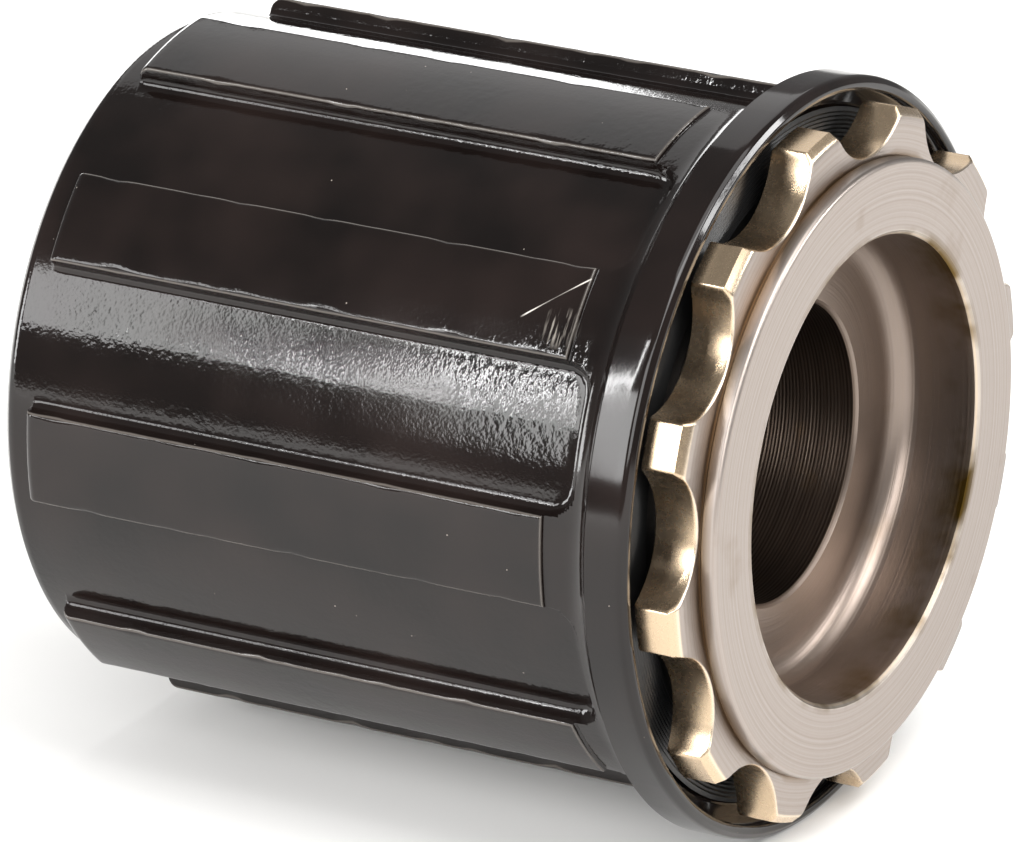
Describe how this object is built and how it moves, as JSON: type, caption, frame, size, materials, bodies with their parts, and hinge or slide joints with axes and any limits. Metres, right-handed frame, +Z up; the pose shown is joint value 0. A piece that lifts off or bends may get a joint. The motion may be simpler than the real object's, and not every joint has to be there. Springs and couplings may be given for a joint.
{
  "type": "cassette freehub body",
  "caption": "Splined cassette driver with an enclosed pawl clutch and loose-ball bearings, toothed flange to the hub and lock-ring recess at the far end.",
  "frame": {"origin": "on the hub axis, halfway along the body between the hub seat face and the lock ring end", "axes": "+X along the hub axis towards the toothed hub end, +Z up as the part lies in the picture, +Y completes the frame"},
  "size_m": [0.0384, 0.037, 0.037],
  "materials": {
    "black_enamel": "thick glossy black enamel on steel, with slight orange peel",
    "nickel_plate": "warm satin nickel plate with fine turning marks",
    "hardened_steel": "plain ground steel",
    "ball_steel": "polished bearing steel",
    "rubber": "matt black rubber"
  },
  "bodies": {
    "core": {"inner_body": "nickel_plate", "bearing_cup": "hardened_steel", "bearing_shim": "hardened_steel", "pawl_spring_1": "hardened_steel", "pawl_spring_2": "hardened_steel"},
    "shell": {"splined_shell": "black_enamel", "hub_side_seal": "rubber", "outboard_dust_ring": "rubber"},
    "inboard_balls": {"inboard_ball_01": "ball_steel", "inboard_ball_02": "ball_steel", "inboard_ball_03": "ball_steel", "inboard_ball_04": "ball_steel", "inboard_ball_05": "ball_steel", "inboard_ball_06": "ball_steel", "inboard_ball_07": "ball_steel", "inboard_ball_08": "ball_steel", "inboard_ball_09": "ball_steel", "inboard_ball_10": "ball_steel", "inboard_ball_11": "ball_steel", "inboard_ball_12": "ball_steel", "inboard_ball_13": "ball_steel", "inboard_ball_14": "ball_steel", "inboard_ball_15": "ball_steel", "inboard_ball_16": "ball_steel", "inboard_ball_17": "ball_steel", "inboard_ball_18": "ball_steel", "inboard_ball_19": "ball_steel", "inboard_ball_20": "ball_steel", "inboard_ball_21": "ball_steel", "inboard_ball_22": "ball_steel", "inboard_ball_23": "ball_steel", "inboard_ball_24": "ball_steel", "inboard_ball_25": "ball_steel"},
    "outboard_balls": {"outboard_ball_01": "ball_steel", "outboard_ball_02": "ball_steel", "outboard_ball_03": "ball_steel", "outboard_ball_04": "ball_steel", "outboard_ball_05": "ball_steel", "outboard_ball_06": "ball_steel", "outboard_ball_07": "ball_steel", "outboard_ball_08": "ball_steel", "outboard_ball_09": "ball_steel", "outboard_ball_10": "ball_steel", "outboard_ball_11": "ball_steel", "outboard_ball_12": "ball_steel", "outboard_ball_13": "ball_steel", "outboard_ball_14": "ball_steel", "outboard_ball_15": "ball_steel", "outboard_ball_16": "ball_steel", "outboard_ball_17": "ball_steel", "outboard_ball_18": "ball_steel", "outboard_ball_19": "ball_steel", "outboard_ball_20": "ball_steel", "outboard_ball_21": "ball_steel", "outboard_ball_22": "ball_steel", "outboard_ball_23": "ball_steel", "outboard_ball_24": "ball_steel", "outboard_ball_25": "ball_steel"},
    "pawl_a": {"pawl_1": "hardened_steel"},
    "pawl_b": {"pawl_2": "hardened_steel"}
  },
  "joints": [
    {"name": "shell_spin", "type": "hinge", "parent": "core", "child": "shell", "pos_m": [0, 0, 0], "axis": [1, 0, 0], "continuous": true},
    {"name": "inboard_ball_roll", "type": "hinge", "parent": "core", "child": "inboard_balls", "pos_m": [0.0118, 0, 0], "axis": [1, 0, 0], "continuous": true},
    {"name": "outboard_ball_roll", "type": "hinge", "parent": "core", "child": "outboard_balls", "pos_m": [-0.0086, 0, 0], "axis": [1, 0, 0], "continuous": true},
    {"name": "pawl_a_pivot", "type": "hinge", "parent": "core", "child": "pawl_a", "pos_m": [0.0031, 0.00254, 0.00948], "axis": [1, 0, 0], "range_deg": [0, 10], "stiffness_Nm_per_rad": 0.02, "springref_deg": 14.32},
    {"name": "pawl_b_pivot", "type": "hinge", "parent": "core", "child": "pawl_b", "pos_m": [0.0031, -0.00254, -0.00948], "axis": [1, 0, 0], "range_deg": [0, 10], "stiffness_Nm_per_rad": 0.02, "springref_deg": 14.32}
  ],
  "couplings": [
    {"joint": "inboard_ball_roll", "follows": "shell_spin", "ratio": 0.5427},
    {"joint": "outboard_ball_roll", "follows": "shell_spin", "ratio": 0.5427}
  ]
}
